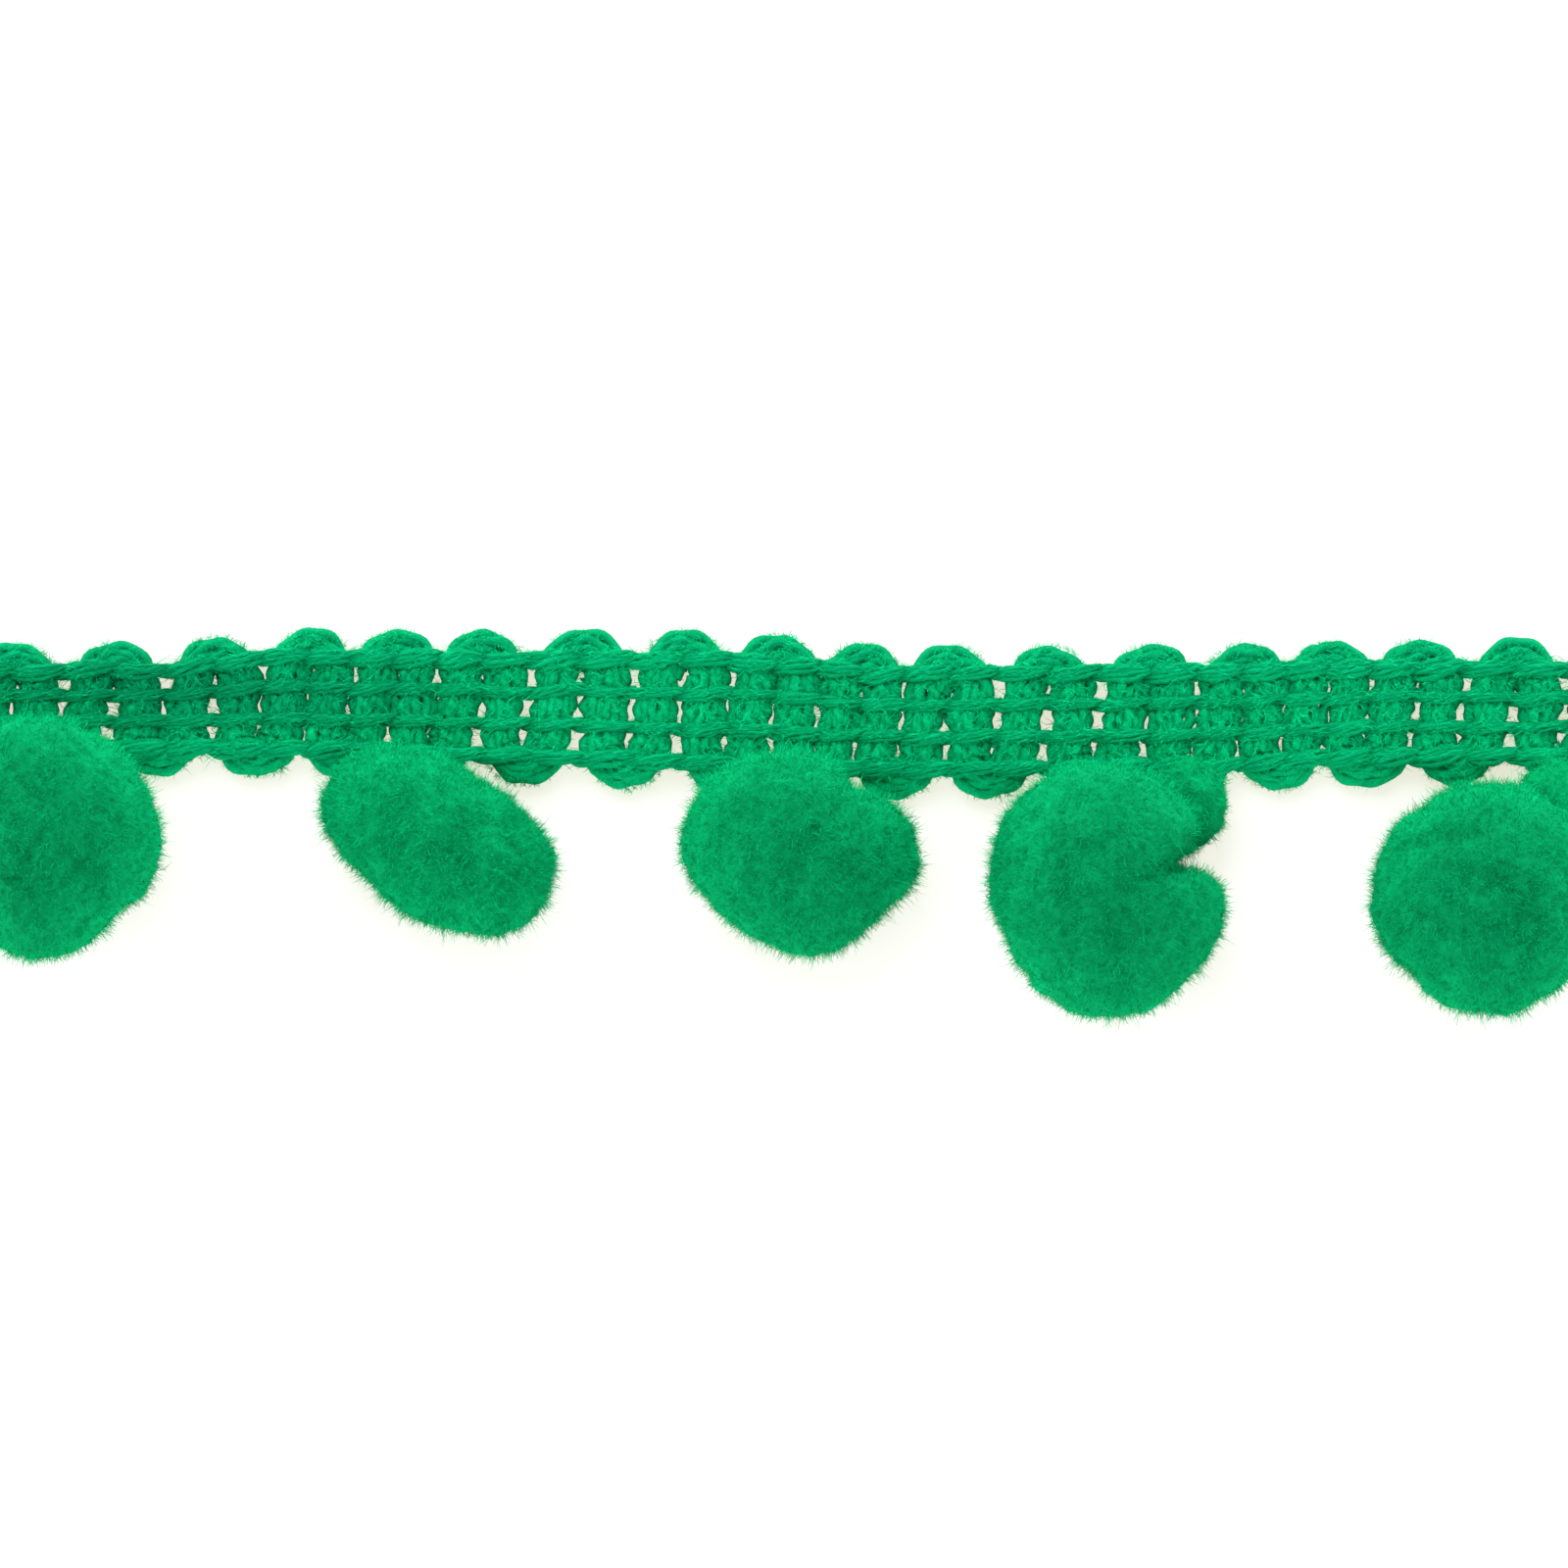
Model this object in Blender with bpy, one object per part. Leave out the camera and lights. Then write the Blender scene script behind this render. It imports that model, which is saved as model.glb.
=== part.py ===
"""A cut length of pompom fringe trim, lying face up with its pompoms towards -Y.

The heading is one braided band: a soft weft yarn runs to and fro across it, turns in a
loop at each edge, and is held by four rows of warp chain stitches. Five pompoms of cut
pile hang from its lower edge, and two of them still show the thick tuft that they grew
from. Metres, +Z up, and the origin is on the flat back of the heading.
"""

import math
from collections import namedtuple

import bmesh
import bpy
from mathutils import Euler, Vector, noise

MM = 0.001

# The weft: one pick is one pass of the yarn across the heading, and the gaps between
# picks are numbered from gap 0. The picks crowd and spread again every ten or so, and
# lean a little. Loops at the upper edge close the odd gaps, at the lower one the even.
FIRST_GAP = -4
LAST_GAP = 35
X_OF_GAP_0 = -36.45 * MM
PICK_PITCH = 2.378 * MM
CROWDING = 0.38 * MM
CROWDING_PERIOD = 10
CROWDING_START = 1.5
SLANT = 0.55 * MM

# Edge lines of the heading, along its length, without the loops.
Section = namedtuple("Section", "x upper lower")
SECTIONS = [
    Section(-48 * MM, 2.60 * MM, -1.85 * MM),
    Section(-33 * MM, 2.65 * MM, -1.90 * MM),
    Section(-25 * MM, 3.40 * MM, -2.05 * MM),
    Section(-13 * MM, 3.25 * MM, -2.40 * MM),
    Section(-4 * MM, 3.35 * MM, -2.85 * MM),
    Section(6 * MM, 2.55 * MM, -3.10 * MM),
    Section(20 * MM, 2.60 * MM, -2.95 * MM),
    Section(30 * MM, 2.80 * MM, -2.40 * MM),
    Section(40 * MM, 2.75 * MM, -2.35 * MM),
    Section(49 * MM, 2.75 * MM, -2.30 * MM),
]

# Relief of the heading, all above its flat back.
CHAIN_TOP = 2.0 * MM
CHAIN_DIP = 1.7 * MM
CHAIN_FOOT = 1.35 * MM
PICK_TOP = 1.55 * MM
GAP_BOTTOM = 0.55 * MM
LOOP_REACH = 1.05 * MM
LOOP_HALF_WIDTH = 1.95 * MM
LOOP_TOP = 1.65 * MM
EDGE_LIP = 0.10 * MM
LOOP_CREST = 0.5
RIM = 0.6 * MM
RIM_BETWEEN_LOOPS = 0.8 * MM
CLEARANCE = 0.3 * MM

# The chain stitches, from the upper edge line, 0, to the lower one, 1.
Chain = namedtuple("Chain", "top middle bottom")
CHAINS = [
    Chain(0.000, 0.052, 0.103),
    Chain(0.291, 0.338, 0.385),
    Chain(0.593, 0.635, 0.677),
    Chain(0.846, 0.923, 1.000),
]
COLUMNS_IN_A_PICK = (0.0, 0.2, 0.8)

# Pompoms: place of the middle, half sizes along and across the turned oval, which way
# the oval turns, and one dent in the outline with its bearing, depth and half spread.
Pompom = namedtuple(
    "Pompom", "name x y half_length half_width half_height turn dent_at dent dent_spread"
)
POMPOMS = [
    Pompom("pompom_1", -37.8 * MM, -5.9 * MM, 6.20 * MM, 6.05 * MM, 5.1 * MM, -20, 215, 0.5 * MM, 24),
    Pompom("pompom_2", -17.8 * MM, -6.3 * MM, 6.50 * MM, 4.15 * MM, 4.1 * MM, -31, 205, 0.2 * MM, 20),
    Pompom("pompom_3", 0.8 * MM, -6.9 * MM, 6.25 * MM, 5.10 * MM, 4.8 * MM, -12, 48, 0.9 * MM, 22),
    Pompom("pompom_4", 16.5 * MM, -9.1 * MM, 6.25 * MM, 6.20 * MM, 5.2 * MM, 0, 17, 1.3 * MM, 13),
    Pompom("pompom_5", 35.8 * MM, -9.3 * MM, 6.00 * MM, 5.90 * MM, 5.0 * MM, 30, 225, 0.4 * MM, 20),
]

# Tufts between the heading's edge and a pompom.
Tuft = namedtuple("Tuft", "pompom x y half_length half_width half_height turn")
TUFTS = [
    Tuft("pompom_4", 20.8 * MM, -5.4 * MM, 2.5 * MM, 1.75 * MM, 2.3 * MM, 66),
    Tuft("pompom_5", 39.9 * MM, -5.0 * MM, 2.7 * MM, 2.2 * MM, 2.4 * MM, 60),
]

# Locks of pile: a ball has 54 of them. Insets and wander are shares of its radius, and
# REST_SHARE is how much of its half height lies below its middle.
LOCK_LENGTH = 0.90 * MM
LOCK_ROWS_ON_A_SIDE = 3
LOCK_WANDER = 0.12
SHOULDER_INSET = 0.04
TIP_INSET = 0.06
SHOULDER_SHARE = 0.72
LUMP = 0.30 * MM
LUMPS_ACROSS = 2.2
REST_SHARE = 0.92
NOISE_SEED = 12

TRIM_GREEN = (0.0, 0.37, 0.13, 1.0)
POMPOM_GREEN = (0.0, 0.33, 0.105, 1.0)


def new_material(name, colour, roughness):
    material = bpy.data.materials.new(name)
    material.use_nodes = True
    shader = material.node_tree.nodes["Principled BSDF"]
    shader.inputs["Base Color"].default_value = colour
    shader.inputs["Roughness"].default_value = roughness
    shader.inputs["Metallic"].default_value = 0.0
    return material


def new_object(name, shape, collection, material=None):
    """Turns a bmesh into a named object, with its normals facing out."""
    bmesh.ops.recalc_face_normals(shape, faces=shape.faces)
    mesh = bpy.data.meshes.new(name)
    shape.to_mesh(mesh)
    shape.free()
    if material:
        mesh.materials.append(material)
    made = bpy.data.objects.new(name, mesh)
    collection.objects.link(made)
    return made


def gap_x(gap):
    """Where a gap between two picks crosses the middle of the heading."""
    crowd = math.sin(2 * math.pi * (gap - CROWDING_START) / CROWDING_PERIOD)
    return X_OF_GAP_0 + PICK_PITCH * gap + CROWDING * crowd


def edge_lines(x):
    """The upper and lower edge lines of the heading at x, eased between sections."""
    spans = zip(SECTIONS, SECTIONS[1:])
    before, after = next(span for span in spans if x <= span[1].x)
    share = (x - before.x) / (after.x - before.x)
    ease = share * share * (3 - 2 * share)
    upper = before.upper + (after.upper - before.upper) * ease
    lower = before.lower + (after.lower - before.lower) * ease
    return upper, lower


def loop_reach(x, first_loop):
    """How far the nearest edge loop stands out at x. Loops close every second gap."""
    reach = 0
    for gap in range(first_loop, LAST_GAP, 2):
        off = (x - gap_x(gap)) / LOOP_HALF_WIDTH
        if abs(off) < 1:
            reach = LOOP_REACH * math.sqrt(1 - off * off)
    return reach


Row = namedtuple("Row", "share out over_pick over_gap")


def heading_rows():
    """The rows across the heading. Share is the way from the upper edge line to the
    lower one, and out is how far out on an edge loop the row runs."""
    foot_at_gap = (CHAIN_FOOT + GAP_BOTTOM) / 2
    rows = [
        Row(0, 1, RIM, RIM),
        Row(0, LOOP_CREST, LOOP_TOP, RIM_BETWEEN_LOOPS),
        Row(CHAINS[0].top, 0, CHAIN_FOOT, foot_at_gap),
    ]
    for chain, next_chain in zip(CHAINS, CHAINS[1:]):
        rows += [
            Row(chain.middle, 0, CHAIN_TOP, CHAIN_DIP),
            Row(chain.bottom, 0, CHAIN_FOOT, foot_at_gap),
            Row((chain.bottom + next_chain.top) / 2, 0, PICK_TOP, GAP_BOTTOM),
            Row(next_chain.top, 0, CHAIN_FOOT, foot_at_gap),
        ]
    rows += [
        Row(CHAINS[-1].middle, 0, CHAIN_TOP, CHAIN_DIP),
        Row(CHAINS[-1].bottom, 0, CHAIN_FOOT, foot_at_gap),
        Row(1, LOOP_CREST, LOOP_TOP, RIM_BETWEEN_LOOPS),
        Row(1, 1, RIM, RIM),
    ]
    return rows


def heading_columns():
    """Each column along the heading as its x, and whether it is in a gap."""
    columns = []
    for gap in range(FIRST_GAP, LAST_GAP):
        span = gap_x(gap + 1) - gap_x(gap)
        columns += [(gap_x(gap) + span * at, at == 0) for at in COLUMNS_IN_A_PICK]
    return columns + [(gap_x(LAST_GAP), True)]


def heading_point(row, x, is_gap):
    """The point of the raised face where a row crosses a column."""
    upper, lower = edge_lines(x)
    at_upper_edge = row.share < 0.5
    loop = loop_reach(x, FIRST_GAP + 1 if at_upper_edge else FIRST_GAP + 2)
    out = row.out * (EDGE_LIP + loop)
    y = upper + (lower - upper) * row.share + (out if at_upper_edge else -out)
    on_crest = row.out == LOOP_CREST and loop > LOOP_REACH / 2
    height = row.over_gap if is_gap and not on_crest else row.over_pick
    return Vector((x + SLANT * (0.5 - row.share), y, height))


def build_heading(collection, material):
    """A slab on a flat back, whose face is raised in picks, chains and edge loops."""
    rows = heading_rows()
    columns = heading_columns()
    shape = bmesh.new()
    bmesh.ops.create_grid(
        shape, x_segments=len(columns) - 1, y_segments=len(rows) - 1, size=0.5
    )
    for vert in shape.verts:
        column = round((vert.co.x + 0.5) * (len(columns) - 1))
        row = round((0.5 - vert.co.y) * (len(rows) - 1))
        vert.co = heading_point(rows[row], *columns[column])
    rim = [edge for edge in shape.edges if edge.is_boundary]
    walls = bmesh.ops.extrude_edge_only(shape, edges=rim)["geom"]
    for vert in (item for item in walls if isinstance(item, bmesh.types.BMVert)):
        vert.co.z = 0
    foot = [edge for edge in shape.edges if edge.is_boundary]
    bmesh.ops.contextual_create(shape, geom=foot)
    return new_object("heading", shape, collection, material)


def oval_reach(direction, blob):
    """Distance from the middle of a turned oval to its surface, in a direction."""
    turn = math.radians(blob.turn)
    along = direction.x * math.cos(turn) + direction.y * math.sin(turn)
    across = direction.y * math.cos(turn) - direction.x * math.sin(turn)
    return 1 / math.sqrt(
        (along / blob.half_length) ** 2
        + (across / blob.half_width) ** 2
        + (direction.z / blob.half_height) ** 2
    )


def floor_reach(direction, height):
    """Distance from a middle at this height down to the surface that it rests on."""
    return height / -direction.z if direction.z < 0 else math.inf


def pompom_reach(direction, pompom):
    """The pompom's surface: an oval with one dent and shallow lumps, level below."""
    at = math.degrees(math.atan2(direction.y, direction.x)) - pompom.dent_at
    off = (at + 180) % 360 - 180
    flat = direction.x**2 + direction.y**2
    dent = pompom.dent * math.exp(-((off / pompom.dent_spread) ** 2)) * flat
    lump = LUMP * noise.noise(direction * LUMPS_ACROSS + own_place(pompom))
    reach = oval_reach(direction, pompom) - dent + lump
    return min(reach, floor_reach(direction, REST_SHARE * pompom.half_height))


def own_place(pompom):
    """Where a pompom reads the noise and how its locks turn, so that no two match."""
    return Vector((pompom.x, pompom.y, 0)) / MM


def lock_ball(pompom):
    """A unit ball whose faces each carry one four-sided lock. Returns its bmesh and how
    far up a lock each vertex is, from 0 at the root to 1 at the tip."""
    turned = Euler(own_place(pompom)).to_matrix()
    shape = bmesh.new()
    bmesh.ops.create_cube(shape, size=2)
    bmesh.ops.subdivide_edges(
        shape, edges=shape.edges[:], cuts=LOCK_ROWS_ON_A_SIDE - 1, use_grid_fill=True
    )
    for vert in shape.verts:
        spread = Vector([math.tan(value * math.pi / 4) for value in vert.co]).normalized()
        wander = noise.noise_vector(spread * LUMPS_ACROSS + own_place(pompom))
        vert.co = turned @ (spread + LOCK_WANDER * wander).normalized()
    shape.normal_update()
    faces = shape.faces[:]
    up = {vert: 0.0 for vert in shape.verts}
    for inset, share in ((SHOULDER_INSET, SHOULDER_SHARE), (TIP_INSET, 1.0)):
        bmesh.ops.inset_individual(shape, faces=faces, thickness=inset)
        up.update({vert: share for face in faces for vert in face.verts})
    return shape, up


def build_pompom(pompom, collection, material):
    shape, up = lock_ball(pompom)
    middle = Vector((pompom.x, pompom.y, REST_SHARE * pompom.half_height))
    for vert in shape.verts:
        direction = vert.co.normalized()
        reach = pompom_reach(direction, pompom)
        vert.co = middle + direction * (reach - LOCK_LENGTH * (1 - up[vert]))
    return new_object(pompom.name, shape, collection, material)


def build_tuft(tuft, collection):
    """The thick end of pile between the heading and its pompom, level below."""
    shape = bmesh.new()
    bmesh.ops.create_icosphere(shape, subdivisions=2, radius=1)
    height = REST_SHARE * tuft.half_height
    middle = Vector((tuft.x, tuft.y, height))
    for vert in shape.verts:
        direction = vert.co.normalized()
        reach = min(oval_reach(direction, tuft), floor_reach(direction, height))
        vert.co = middle + direction * reach
    return new_object(tuft.pompom + "_tuft", shape, collection)


def build_seat(pompom, collection):
    """The room that the heading and its edge loops take under and behind a pompom."""
    wide = 3 * pompom.half_length
    deep = 3 * pompom.half_length
    high = CHAIN_TOP + CLEARANCE
    ends = (pompom.x - pompom.half_length, pompom.x + pompom.half_length)
    lowest = min(edge_lines(x)[1] for x in ends)
    front = lowest - EDGE_LIP - LOOP_REACH - CLEARANCE
    shape = bmesh.new()
    bmesh.ops.create_cube(shape, size=1)
    bmesh.ops.scale(shape, vec=(wide, deep, 2 * high), verts=shape.verts)
    bmesh.ops.translate(shape, vec=(pompom.x, front + deep / 2, 0), verts=shape.verts)
    return new_object(pompom.name + "_seat", shape, collection)


def combine(target, other, operation):
    modifier = target.modifiers.new(other.name, "BOOLEAN")
    modifier.operation = operation
    modifier.object = other
    other.hide_render = True
    other.display_type = "WIRE"


def main():
    noise.seed_set(NOISE_SEED)
    for left_over in list(bpy.data.objects):
        bpy.data.objects.remove(left_over)
    trim = bpy.data.collections.new("pompom_fringe_trim")
    helpers = bpy.data.collections.new("helpers")
    for collection in (trim, helpers):
        bpy.context.scene.collection.children.link(collection)
    build_heading(trim, new_material("trim_yarn", TRIM_GREEN, 0.9))
    pile = new_material("pompom_pile", POMPOM_GREEN, 0.95)
    tufts = {tuft.pompom: build_tuft(tuft, helpers) for tuft in TUFTS}
    for pompom in POMPOMS:
        ball = build_pompom(pompom, trim, pile)
        if pompom.name in tufts:
            combine(ball, tufts[pompom.name], "UNION")
        combine(ball, build_seat(pompom, helpers), "DIFFERENCE")


main()
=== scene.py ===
"""Pompom fringe trim, lying on a pale surface and seen from straight above."""

import math

import bmesh
import bpy
import numpy as np
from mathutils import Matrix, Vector, noise


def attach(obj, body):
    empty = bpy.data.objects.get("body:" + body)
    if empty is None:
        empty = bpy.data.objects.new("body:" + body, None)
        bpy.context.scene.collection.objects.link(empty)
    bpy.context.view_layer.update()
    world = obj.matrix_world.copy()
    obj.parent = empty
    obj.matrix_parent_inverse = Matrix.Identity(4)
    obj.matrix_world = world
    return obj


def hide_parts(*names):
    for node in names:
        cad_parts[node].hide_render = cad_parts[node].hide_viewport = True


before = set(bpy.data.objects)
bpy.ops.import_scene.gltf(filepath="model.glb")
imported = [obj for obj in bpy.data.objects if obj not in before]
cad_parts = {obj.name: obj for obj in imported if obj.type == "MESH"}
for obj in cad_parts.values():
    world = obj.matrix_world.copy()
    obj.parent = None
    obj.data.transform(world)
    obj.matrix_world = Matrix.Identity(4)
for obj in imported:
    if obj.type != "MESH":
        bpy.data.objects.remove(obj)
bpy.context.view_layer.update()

MM = 0.001
noise.seed_set(12)

# The weft is one long soft yarn, a loose bundle of spongy strands. It runs to and fro
# across the heading, one pick beside the next, and turns in a round loop at each edge.
# The picks part a little between the chain stitches, and the surface shows through there.

FIRST_GAP = -4
LAST_GAP = 35
X_OF_GAP_0 = -36.45 * MM
PICK_PITCH = 2.378 * MM
CROWDING = 0.38 * MM
CROWDING_PERIOD = 10
CROWDING_START = 1.5
SLANT = 0.65 * MM
SLANT_MIDDLE = 0.4

EDGE_XS = np.array([-48, -33, -25, -13, -4, 6, 20, 30, 40, 49]) * MM
UPPER_EDGE = np.array([2.60, 2.65, 3.40, 3.25, 3.35, 2.55, 2.60, 2.80, 2.75, 2.75]) * MM
LOWER_EDGE = np.array([1.85, 1.90, 2.05, 2.40, 2.85, 3.10, 2.95, 2.40, 2.35, 2.30]) * -MM

GAP_WIDTH = 0.32 * MM
GAP_LEAN = 0.60
GAP_WANDER = 0.14 * MM
GAP_AT_CHAIN = 0.16 * MM
USUAL_NEARNESS = 0.4
LEAST_GAP = 0.10 * MM
LOOSE_SHARE = 0.60
LOOSE_PERIOD = 24 * MM
LOOSE_AT = -10 * MM

WEFT_HEIGHT = 0.98 * MM
WEFT_THICK = 0.76 * MM
WEFT_PINCHED = 0.52 * MM
PICK_SHARES = np.linspace(0.16, 0.84, 21)
LOOP_RADIUS = 1.02 * MM
LOOP_VARIES = 0.10
LOOP_VARIES_LENGTH = 2 * MM
LOOP_INSETS = {1: 0.88 * MM, -1: 0.97 * MM}
LOOP_ANGLES = np.radians(np.linspace(180, 0, 13))
LOOP_ROUNDING = 0.72
LOOP_YARN = 1.00 * MM
LOOP_SWELL = 0.12 * MM
LOOP_HEIGHT = 0.95 * MM
LOOP_FADE = 1.0 * MM
LOWER_LOOP_SHARE = 0.20

YARN_STEP = 0.16 * MM
CRIMP_LENGTH = 0.88 * MM
CRIMP_SHIFT = 2.4
STRAND_WANDER = 1.3 * MM
UV_SHIFT = 7.7
STRAND_SIDES = 4
WELD_REACH = 0.002 * MM
WEFT_STRANDS = (
    (-0.74, 0.0),
    (-0.45, 0.32),
    (-0.15, 0.44),
    (0.15, 0.44),
    (0.45, 0.32),
    (0.74, 0.0),
    (-0.38, -0.42),
    (0.38, -0.42),
)
CHAIN_MIDDLES = (0.058, 0.338, 0.635, 0.920)
CHAIN_REACH = 0.12


def gap_x(gap):
    """Where a gap between two picks crosses the middle of the heading."""
    crowd = math.sin(2 * math.pi * (gap - CROWDING_START) / CROWDING_PERIOD)
    return X_OF_GAP_0 + PICK_PITCH * gap + CROWDING * crowd


def edge_lines(x):
    """The upper and lower edge lines of the heading at x, without the loops."""
    index = np.arange(len(EDGE_XS))
    at = np.interp(x, EDGE_XS, index)
    part = at % 1
    eased = at - part + part * part * (3 - 2 * part)
    return np.interp(eased, index, UPPER_EDGE), np.interp(eased, index, LOWER_EDGE)


def chain_nearness(share):
    """1 under a row of chain stitches, and 0 where the weft lies free."""
    return max(0, 1 - min(abs(share - middle) for middle in CHAIN_MIDDLES) / CHAIN_REACH)


def gap_sides(gap, share):
    """The two sides of a gap, where it crosses a share of the way down the heading. It is
    wider on the side where its two picks don't meet in a loop. The bare factors inside
    noise, here and further on, only keep one use of it apart from the next."""
    x = gap_x(gap) + SLANT * (SLANT_MIDDLE - share)
    x += GAP_WANDER * noise.noise(Vector((gap * 3.7, share * 3, 1.0)))
    loose = 1 + LOOSE_SHARE * math.cos(2 * math.pi * (x - LOOSE_AT) / LOOSE_PERIOD)
    lean = 1 + GAP_LEAN * (1 - 2 * share) * (1 if gap % 2 == 0 else -1)
    rough = GAP_WANDER * noise.noise(Vector((gap * 5.3, share * 5, 9.0)))
    at_chain = GAP_AT_CHAIN * (chain_nearness(share) - USUAL_NEARNESS)
    width = max(GAP_WIDTH * loose * lean + rough + at_chain, LEAST_GAP)
    return x - width / 2, x + width / 2


def across_heading(x, share):
    """The y of a point at x, some share of the way from the upper edge to the lower one."""
    upper, lower = edge_lines(x)
    return upper + (lower - upper) * share


def even_route(points, step):
    """The same way as these rows of points, in even steps."""
    points = np.array(points)
    run = np.linalg.norm(np.diff(points[:, :3], axis=0), axis=1)
    at = np.concatenate([[0], np.cumsum(run)])
    even = np.linspace(0, at[-1], int(at[-1] / step) + 1)
    return np.stack([np.interp(even, at, column) for column in points.T], axis=1)


def smoothed(rows):
    """Rows eased once towards their neighbours."""
    rows[1:-1] = (rows[:-2] + 2 * rows[1:-1] + rows[2:]) / 4
    return rows


def yarn_frame(route):
    """How far along a route each of its rows is, and the level direction ahead there."""
    run = np.linalg.norm(np.diff(route[:, :3], axis=0), axis=1)
    at = np.concatenate([[0], np.cumsum(run)])
    ahead = np.gradient(route[:, :2], at, axis=0)
    return at, ahead / np.linalg.norm(ahead, axis=1, keepdims=True)


def lay_yarn(shape, route, strands, strand_size, crimp, loose=0.2, twist=0, seed=0):
    """Lays crimped strands side by side along a route, whose rows are x, y, z, half width
    and half height. Strands are places in the yarn's section, in shares of its half size.
    Loose is how far they stray from there, and twist how fast they turn about the yarn."""
    at, ahead = yarn_frame(route)
    uv = shape.loops.layers.uv.verify()
    for number, (out_share, up_share) in enumerate(strands):
        made = bmesh.ops.create_grid(
            shape, x_segments=len(route) - 1, y_segments=STRAND_SIDES, size=0.5, calc_uvs=True
        )
        size = math.hypot(out_share, up_share)
        lay = math.atan2(up_share, out_share) + twist * at
        wave = 2 * math.pi * at / CRIMP_LENGTH + CRIMP_SHIFT * number + seed
        out = route[:, 3] * size * np.cos(lay) + crimp * np.cos(wave)
        up = route[:, 4] * size * np.sin(lay) + crimp * np.sin(wave)
        for ring in range(len(route)):
            wander = noise.noise_vector(Vector((at[ring] / STRAND_WANDER, number * 5.3, seed)))
            out[ring] += wander.x * route[ring, 3] * loose
            up[ring] += wander.y * route[ring, 4] * loose
        faces = {face for vert in made["verts"] for face in vert.link_faces}
        for face in faces:
            for loop in face.loops:
                along = loop[uv].uv.x * at[-1] / MM
                loop[uv].uv = (along + number * UV_SHIFT + seed, loop[uv].uv.y)
        for vert in made["verts"]:
            ring = round((vert.co.x + 0.5) * (len(route) - 1))
            angle = (vert.co.y + 0.5) * 2 * math.pi
            far = out[ring] + route[ring, 3] * strand_size[0] * math.cos(angle)
            high = up[ring] + route[ring, 4] * strand_size[1] * math.sin(angle)
            x, y, z = route[ring, :3]
            vert.co = (x + ahead[ring][1] * far, y - ahead[ring][0] * far, z + high)
        bmesh.ops.remove_doubles(shape, verts=made["verts"], dist=WELD_REACH)


def finish_yarn(name, shape):
    """Closes the yarn's cut ends, and turns every face outwards."""
    open_edges = [edge for edge in shape.edges if edge.is_boundary]
    bmesh.ops.holes_fill(shape, edges=open_edges, sides=0)
    bmesh.ops.recalc_face_normals(shape, faces=shape.faces)
    return as_piece(name, shape)


def as_piece(name, shape):
    """Makes a bmesh a piece of its own, in the scene."""
    mesh = bpy.data.meshes.new(name)
    shape.to_mesh(mesh)
    shape.free()
    mesh.shade_smooth()
    piece = bpy.data.objects.new(name, mesh)
    bpy.context.scene.collection.objects.link(piece)
    return piece


def weft_row(x, share, half_width):
    """A row of the weft's route, pressed thinner under the chain stitches."""
    half_height = WEFT_THICK - (WEFT_THICK - WEFT_PINCHED) * chain_nearness(share)
    return (x, across_heading(x, share), WEFT_HEIGHT, half_width, half_height)


def pick_rows(pick):
    """One pass of the weft from the upper edge to the lower one."""
    rows = []
    for share in PICK_SHARES:
        left = gap_sides(pick, share)[1]
        right = gap_sides(pick + 1, share)[0]
        rows.append(weft_row((left + right) / 2, share, (right - left) / 2))
    return rows


def loop_rows(start, end, side):
    """The turn of the weft round an edge, from the end of one pick to the next one. Side is
    1 at the upper edge and -1 at the lower one."""
    middle = (start[0] + end[0]) / 2
    edge = edge_lines(middle)[0 if side > 0 else 1] - side * LOOP_INSETS[side]
    size = 1 + LOOP_VARIES * noise.noise(Vector((middle / LOOP_VARIES_LENGTH, 3.0, side)))
    rows = []
    for angle in LOOP_ANGLES:
        bend = math.sin(angle)
        x = middle + LOOP_RADIUS * size * math.cos(angle)
        y = edge + side * LOOP_RADIUS * size * bend**LOOP_ROUNDING
        z = WEFT_HEIGHT + (LOOP_HEIGHT - WEFT_HEIGHT) * bend
        rows.append((x, y, z, LOOP_YARN, WEFT_PINCHED + LOOP_SWELL * bend))
    return rows


def paint_loop_shade(piece):
    """Stores how deep the painted shade of the loops is at each point of a piece, from 0 to 1:
    painted shade that offsets the key light, full at the upper edge and a small share at the lower
    one.
    """
    places = np.empty(len(piece.data.vertices) * 3, np.float32)
    piece.data.vertices.foreach_get("co", places)
    places = places.reshape(-1, 3)
    upper, lower = edge_lines(places[:, 0])
    above = np.clip((places[:, 1] - upper) / LOOP_FADE + 0.5, 0, 1)
    below = np.clip((lower - places[:, 1]) / LOOP_FADE + 0.5, 0, 1)
    painted_loop_shade = piece.data.attributes.new("painted_loop_shade", "FLOAT", "POINT")
    painted_loop_shade.data.foreach_set("value", above + LOWER_LOOP_SHARE * below)


weft_rows = []
pick_routes = []
loop_routes = []
for pick in range(FIRST_GAP, LAST_GAP):
    going_up = pick % 2 == 0
    rows = pick_rows(pick)[:: -1 if going_up else 1]
    pick_routes.append(np.array(rows))
    if weft_rows:
        turn = loop_rows(weft_rows[-1], rows[0], -1 if going_up else 1)
        loop_routes.append(np.array(turn))
        weft_rows += turn
    weft_rows += rows
weft_route = smoothed(even_route(weft_rows, YARN_STEP))
shape = bmesh.new()
shape.loops.layers.uv.new("along_yarn")
lay_yarn(
    shape, weft_route, WEFT_STRANDS, strand_size=(0.30, 0.54), crimp=0.06 * MM, loose=0.32
)
weft = finish_yarn("weft", shape)
paint_loop_shade(weft)


# The finish of the yarn: matt, spongy fibre in a strong green. Fine fibres run along its
# strands, and the colour is painted deeper where they lie deep and lighter where they stand up,
# painted shade and light that follow the bump, mixed with blotches of tone that vary at random.

# The weft is painted a little lighter than the chain yarn: painted light that offsets the shade the
# raised chains cast over the picks.
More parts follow.
